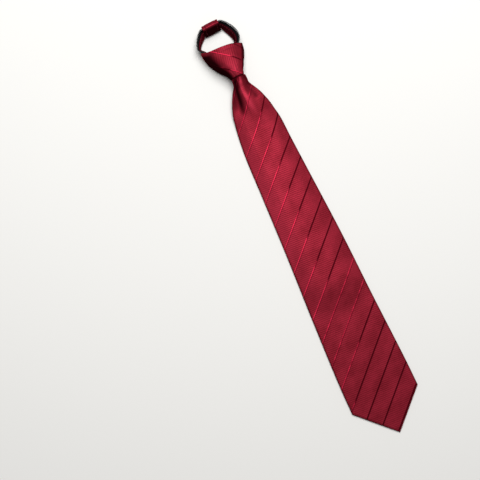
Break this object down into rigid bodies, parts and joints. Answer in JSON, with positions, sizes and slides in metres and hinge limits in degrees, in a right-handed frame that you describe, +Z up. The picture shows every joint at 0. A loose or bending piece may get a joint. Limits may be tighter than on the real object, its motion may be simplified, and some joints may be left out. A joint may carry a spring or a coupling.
{
  "type": "zipper necktie",
  "caption": "Ready-tied necktie lying flat: tapered pointed blade, hollow shaped knot, and a neck loop of satin-faced zip tape with its closed zip tail behind the blade.",
  "frame": {"origin": "middle of the tie's outline, on the surface that it lies on", "axes": "+Y from the blade's point to the neck loop, +X to the right seen from above, +Z up, out of the tie's front"},
  "size_m": [0.0792, 0.4946, 0.0245],
  "materials": {
    "striped_satin": "dark red polyester satin with fine diagonal stripes",
    "plain_satin": "dark red satin",
    "zip_tape": "black woven zip tape",
    "zip_coil": "black nylon coil",
    "slider_paint": "black enamel"
  },
  "bodies": {
    "root": {"blade": "striped_satin", "knot": "striped_satin", "zip_tape_left": "zip_tape", "zip_tape_right": "zip_tape", "satin_strip_left": "plain_satin", "satin_strip_right": "plain_satin", "zip_coil_left": "zip_coil", "zip_coil_right": "zip_coil", "end_sleeve": "plain_satin", "zip_slider": "slider_paint"}
  },
  "joints": []
}
